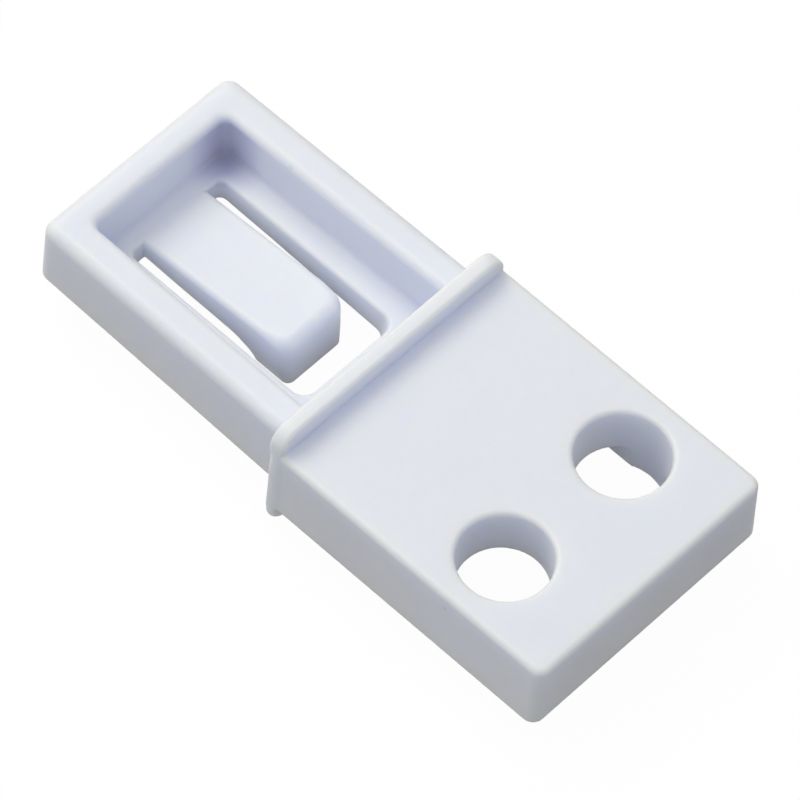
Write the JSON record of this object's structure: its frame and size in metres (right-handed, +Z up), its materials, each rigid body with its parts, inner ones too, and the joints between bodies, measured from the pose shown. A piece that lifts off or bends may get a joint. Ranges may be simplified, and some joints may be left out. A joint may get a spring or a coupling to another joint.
{
  "type": "freezer door latch",
  "caption": "Moulded plastic latch with a snap-in end whose spring tongue carries a catch, a stop flange, and a thick plate with screw holes.",
  "frame": {"origin": "midway between the two screw holes, on the plate's top face", "axes": "+X along the latch towards the plate's free end, +Z up out of the plate's top face, so the snap-in end is at -X"},
  "size_m": [0.0445, 0.0204, 0.0093],
  "materials": {
    "white_plastic": "satin"
  },
  "bodies": {
    "root": {"latch_body": "white_plastic"}
  },
  "joints": []
}
